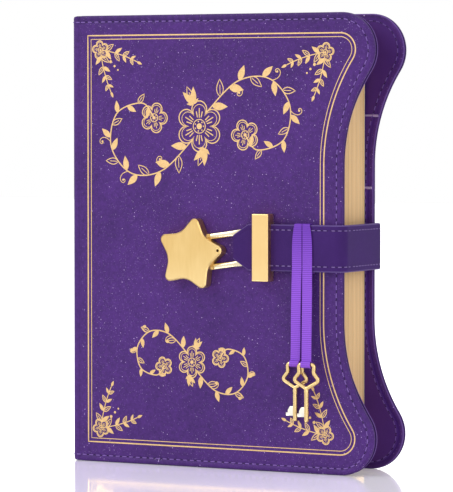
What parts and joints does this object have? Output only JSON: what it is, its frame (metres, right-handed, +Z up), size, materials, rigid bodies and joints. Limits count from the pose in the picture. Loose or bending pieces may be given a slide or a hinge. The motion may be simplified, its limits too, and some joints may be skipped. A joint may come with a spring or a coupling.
{
  "type": "diary with lock",
  "caption": "Hardcover diary with a wavy fore-edge, a wrap-round strap with a star-shaped lock that drops over a stud, and keys hanging from the strap on ribbons.",
  "frame": {"origin": "middle of the footprint on the floor, ribbons and keys left out, with the diary standing on its lower edges", "axes": "+Z up along the covers' height, +X from the spine to the fore-edge, -Y out of the front cover"},
  "size_m": [0.1615, 0.0448, 0.215],
  "materials": {
    "cover_leather": "fine-grained purple imitation leather, padded and rolled at the edges",
    "lining_leather": "smooth dark purple lining",
    "strap_leather": "purple imitation leather, edge-stitched",
    "cover_board": "grey bookbinding board",
    "page_paper": "warm cream paper, trimmed edges",
    "leaf_paper": "cream endpaper",
    "spine_cloth": "glued cloth lining",
    "band_cloth": "striped woven band",
    "gold_metal": "satin gold plate",
    "prong_metal": "pale satin gold plate",
    "key_metal": "polished gold plate",
    "steel": "bright steel",
    "ribbon": "violet ribbed ribbon"
  },
  "bodies": {
    "book": {"back_cover_skin": "cover_leather", "back_cover_board": "cover_board", "back_cover_lining": "lining_leather", "card_pocket_tall": "lining_leather", "card_pocket_short": "lining_leather", "spine_skin": "cover_leather", "spine_board": "cover_board", "spine_lining": "spine_cloth", "front_hinge": "cover_leather", "back_hinge": "cover_leather", "section_1": "page_paper", "section_2": "page_paper", "section_3": "page_paper", "section_4": "page_paper", "section_5": "page_paper", "section_6": "page_paper", "section_7": "page_paper", "section_8": "page_paper", "back_endpaper": "leaf_paper", "headband": "band_cloth", "tailband": "band_cloth", "strap_back": "strap_leather", "strap_side": "strap_leather", "strap_bend": "strap_leather"},
    "front_cover": {"front_cover_skin": "cover_leather", "front_cover_board": "cover_board", "front_cover_lining": "lining_leather", "keeper_stud": "gold_metal", "stud_washer": "steel"},
    "flyleaf": {"flyleaf": "leaf_paper"},
    "strap": {"strap_front": "strap_leather", "clasp_bar": "gold_metal", "tongue_plate": "prong_metal", "bar_rivets": "gold_metal", "star_shell": "gold_metal", "star_back_plate": "gold_metal", "star_pins": "steel", "key_guide": "gold_metal", "latch_spring": "steel", "ribbon_loops": "ribbon"},
    "latch": {"latch_plate": "steel"},
    "ribbon_left": {"ribbon_left": "ribbon"},
    "ribbon_right": {"ribbon_right": "ribbon"},
    "key_left": {"key_left": "key_metal"},
    "key_right": {"key_right": "key_metal"}
  },
  "joints": [
    {"name": "front_cover_hinge", "type": "hinge", "parent": "book", "child": "front_cover", "pos_m": [-0.07875, -0.014, 0.1075], "axis": [0, 0, -1], "range_deg": [0, 178], "deforming": ["front_hinge"]},
    {"name": "flyleaf_turn", "type": "hinge", "parent": "book", "child": "flyleaf", "pos_m": [-0.07675, -0.01208, 0.1075], "axis": [0, 0, -1], "range_deg": [0, 138]},
    {"name": "strap_swing", "type": "hinge", "parent": "book", "child": "strap", "pos_m": [0.06305, -0.01535, 0.1054], "axis": [0, 0, 1], "range_deg": [0, 150], "deforming": ["strap_bend"]},
    {"name": "latch_slide", "type": "slide", "parent": "strap", "child": "latch", "axis": [-0.9903, 0, -0.1392], "range_m": [0, 0.0022]},
    {"name": "ribbon_right_swing", "type": "hinge", "parent": "strap", "child": "ribbon_right", "pos_m": [0.04585, -0.01988, 0.0937], "axis": [-1, 0, 0], "range_deg": [0, 70]},
    {"name": "ribbon_left_swing", "type": "hinge", "parent": "strap", "child": "ribbon_left", "pos_m": [0.04585, -0.01988, 0.0937], "axis": [-1, 0, 0], "range_deg": [0, 70]},
    {"name": "key_right_swing", "type": "hinge", "parent": "ribbon_right", "child": "key_right", "pos_m": [0.04855, -0.0206, 0.0515], "axis": [-1, 0, 0], "range_deg": [0, 60]},
    {"name": "key_left_swing", "type": "hinge", "parent": "ribbon_left", "child": "key_left", "pos_m": [0.04115, -0.01755, 0.0515], "axis": [-1, 0, 0], "range_deg": [0, 24]}
  ],
  "couplings": [
    {"joint": "flyleaf_turn", "follows": "front_cover_hinge", "ratio": 0.775},
    {"joint": "ribbon_left_swing", "follows": "ribbon_right_swing", "ratio": 1},
    {"joint": "key_left_swing", "follows": "key_right_swing", "ratio": 0.4}
  ]
}
